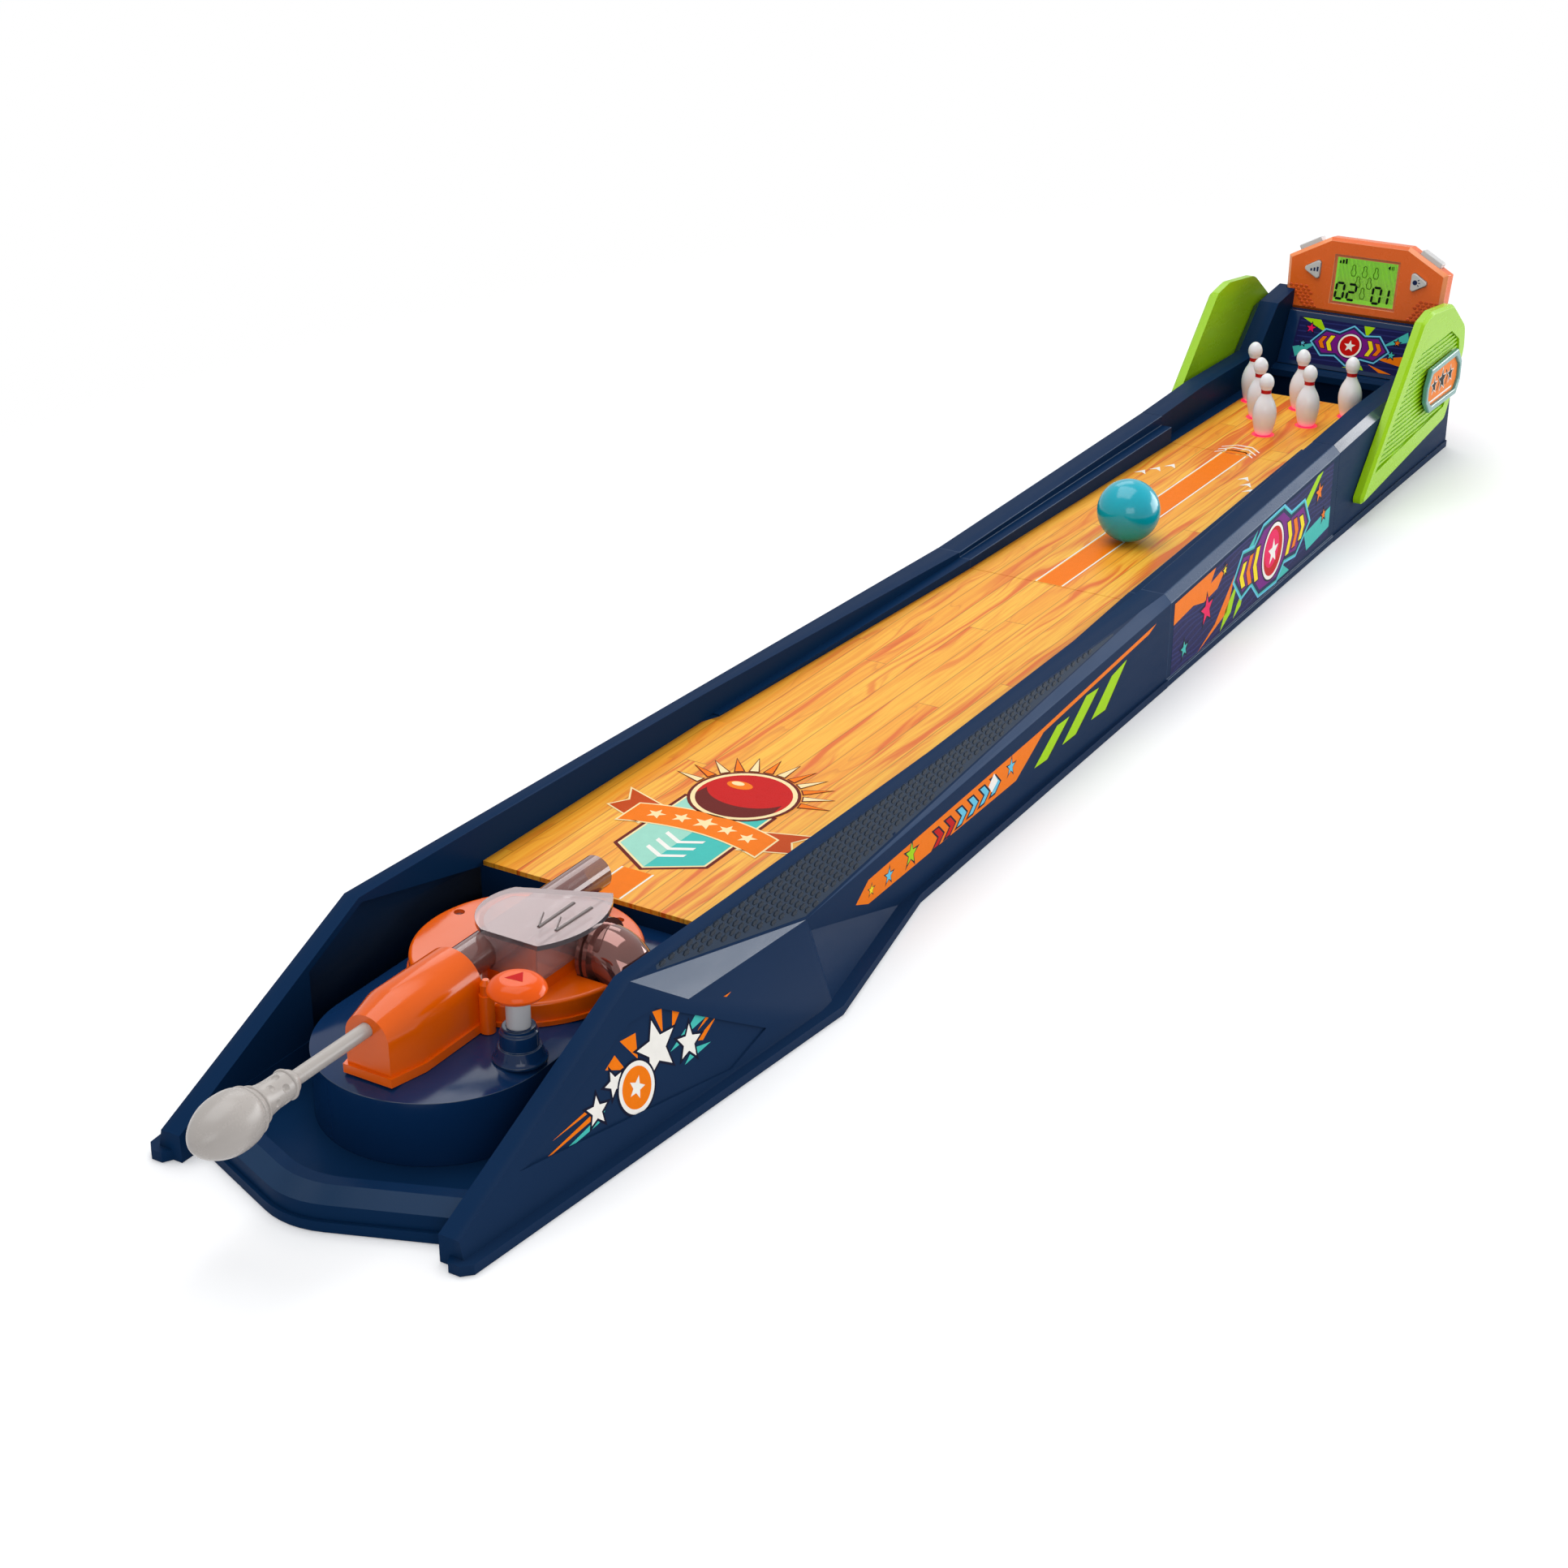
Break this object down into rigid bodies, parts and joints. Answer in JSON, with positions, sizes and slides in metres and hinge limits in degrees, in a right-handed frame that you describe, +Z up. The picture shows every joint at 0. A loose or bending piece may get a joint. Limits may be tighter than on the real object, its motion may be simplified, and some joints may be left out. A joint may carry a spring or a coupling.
{
  "type": "tabletop bowling game",
  "caption": "Tabletop bowling game with clip-together lane sections, swivelling plunger launcher, standing pins, ball, pit, side fins and tilted score display.",
  "frame": {"origin": "centre of the base's footprint box, on the table", "axes": "+Z up, +Y along the lane from the launcher to the pins, +X to the player's right"},
  "size_m": [0.181, 1.0736, 0.12],
  "materials": {
    "navy": "moulded, glossy",
    "lane": "printed wood pattern under a clear film",
    "orange": "moulded, glossy",
    "lime": "moulded, glossy",
    "smoke": "clear smoked plastic",
    "clear": "clear plastic",
    "screen": "lit display panel",
    "grey": "moulded, satin",
    "steel": "plated steel",
    "board": "circuit board",
    "teal": "moulded, glossy",
    "pink": "clear tinted disc over a sensor",
    "white": "moulded, with two printed neck rings",
    "blue": "polished"
  },
  "bodies": {
    "base": {"back_panel": "navy", "button_cells": "steel", "circuit_board": "board", "fin_left": "lime", "fin_right": "lime", "front_section": "navy", "knob_post": "navy", "knob_spring": "steel", "lane_front": "lane", "lane_middle": "lane", "lane_rear": "lane", "launcher_platform": "navy", "lcd_module": "screen", "lcd_window": "clear", "middle_section": "navy", "pin_section": "navy", "pin_spots": "pink", "pivot_pin": "steel", "plaque_frames": "teal", "plaque_inserts": "orange", "score_front": "orange", "score_rear": "orange", "score_screws": "steel", "sensor_board": "board", "speaker": "grey"},
    "turret": {"launcher_housing": "orange", "launcher_underplate": "orange", "launcher_screws": "steel", "barrel_tube": "smoke", "chamber_cover": "smoke", "feed_elbow": "smoke", "plunger_spring": "steel"},
    "plunger": {"plunger_rod": "grey", "plunger_handle": "grey", "plunger_striker": "grey"},
    "knob": {"knob_cap": "orange", "knob_shaft": "grey"},
    "face_button_left": {"face_button_left": "grey"},
    "face_button_right": {"face_button_right": "grey"},
    "top_button_left": {"top_button_left": "grey"},
    "top_button_right": {"top_button_right": "grey"},
    "battery_door": {"battery_door": "orange"},
    "ball": {"ball": "blue"},
    "pin_1": {"pin_1": "white"},
    "pin_2": {"pin_2": "white"},
    "pin_3": {"pin_3": "white"},
    "pin_4": {"pin_4": "white"},
    "pin_5": {"pin_5": "white"},
    "pin_6": {"pin_6": "white"}
  },
  "joints": [
    {"name": "turret_swivel", "type": "hinge", "parent": "base", "child": "turret", "pos_m": [0, -0.35676, 0.033], "axis": [0, 0, 1], "range_deg": [-8, 8]},
    {"name": "plunger_slide", "type": "slide", "parent": "turret", "child": "plunger", "axis": [0, 1, 0], "range_m": [0, 0.037], "stiffness_N_per_m": 60, "springref_m": 0.055, "deforming": ["plunger_spring"]},
    {"name": "knob_push", "type": "slide", "parent": "base", "child": "knob", "axis": [0, 0, -1], "range_m": [0, 0.008], "stiffness_N_per_m": 300, "springref_m": -0.001, "deforming": ["knob_spring"]},
    {"name": "face_button_left_push", "type": "slide", "parent": "base", "child": "face_button_left", "axis": [0, 0.9903, -0.1392], "range_m": [0, 0.001], "stiffness_N_per_m": 800, "springref_m": -0.0005},
    {"name": "face_button_right_push", "type": "slide", "parent": "base", "child": "face_button_right", "axis": [0, 0.9903, -0.1392], "range_m": [0, 0.001], "stiffness_N_per_m": 800, "springref_m": -0.0005},
    {"name": "top_button_left_push", "type": "slide", "parent": "base", "child": "top_button_left", "axis": [0.4726, -0.1226, -0.8727], "range_m": [0, 0.001], "stiffness_N_per_m": 800, "springref_m": -0.0005},
    {"name": "top_button_right_push", "type": "slide", "parent": "base", "child": "top_button_right", "axis": [-0.4726, -0.1226, -0.8727], "range_m": [0, 0.001], "stiffness_N_per_m": 800, "springref_m": -0.0005},
    {"name": "battery_door_lift", "type": "slide", "parent": "base", "child": "battery_door", "axis": [0, 0.9903, -0.1392], "range_m": [0, 0.012]},
    {"name": "pin_1_lift", "type": "slide", "parent": "base", "child": "pin_1", "axis": [0, 0, 1], "range_m": [0, 0.06]},
    {"name": "pin_2_lift", "type": "slide", "parent": "base", "child": "pin_2", "axis": [0, 0, 1], "range_m": [0, 0.06]},
    {"name": "pin_3_lift", "type": "slide", "parent": "base", "child": "pin_3", "axis": [0, 0, 1], "range_m": [0, 0.06]},
    {"name": "pin_4_lift", "type": "slide", "parent": "base", "child": "pin_4", "axis": [0, 0, 1], "range_m": [0, 0.06]},
    {"name": "pin_5_lift", "type": "slide", "parent": "base", "child": "pin_5", "axis": [0, 0, 1], "range_m": [0, 0.06]},
    {"name": "pin_6_lift", "type": "slide", "parent": "base", "child": "pin_6", "axis": [0, 0, 1], "range_m": [0, 0.06]},
    {"name": "ball_roll", "type": "slide", "parent": "base", "child": "ball", "axis": [0, 1, 0], "range_m": [-0.42, 0.17]}
  ]
}
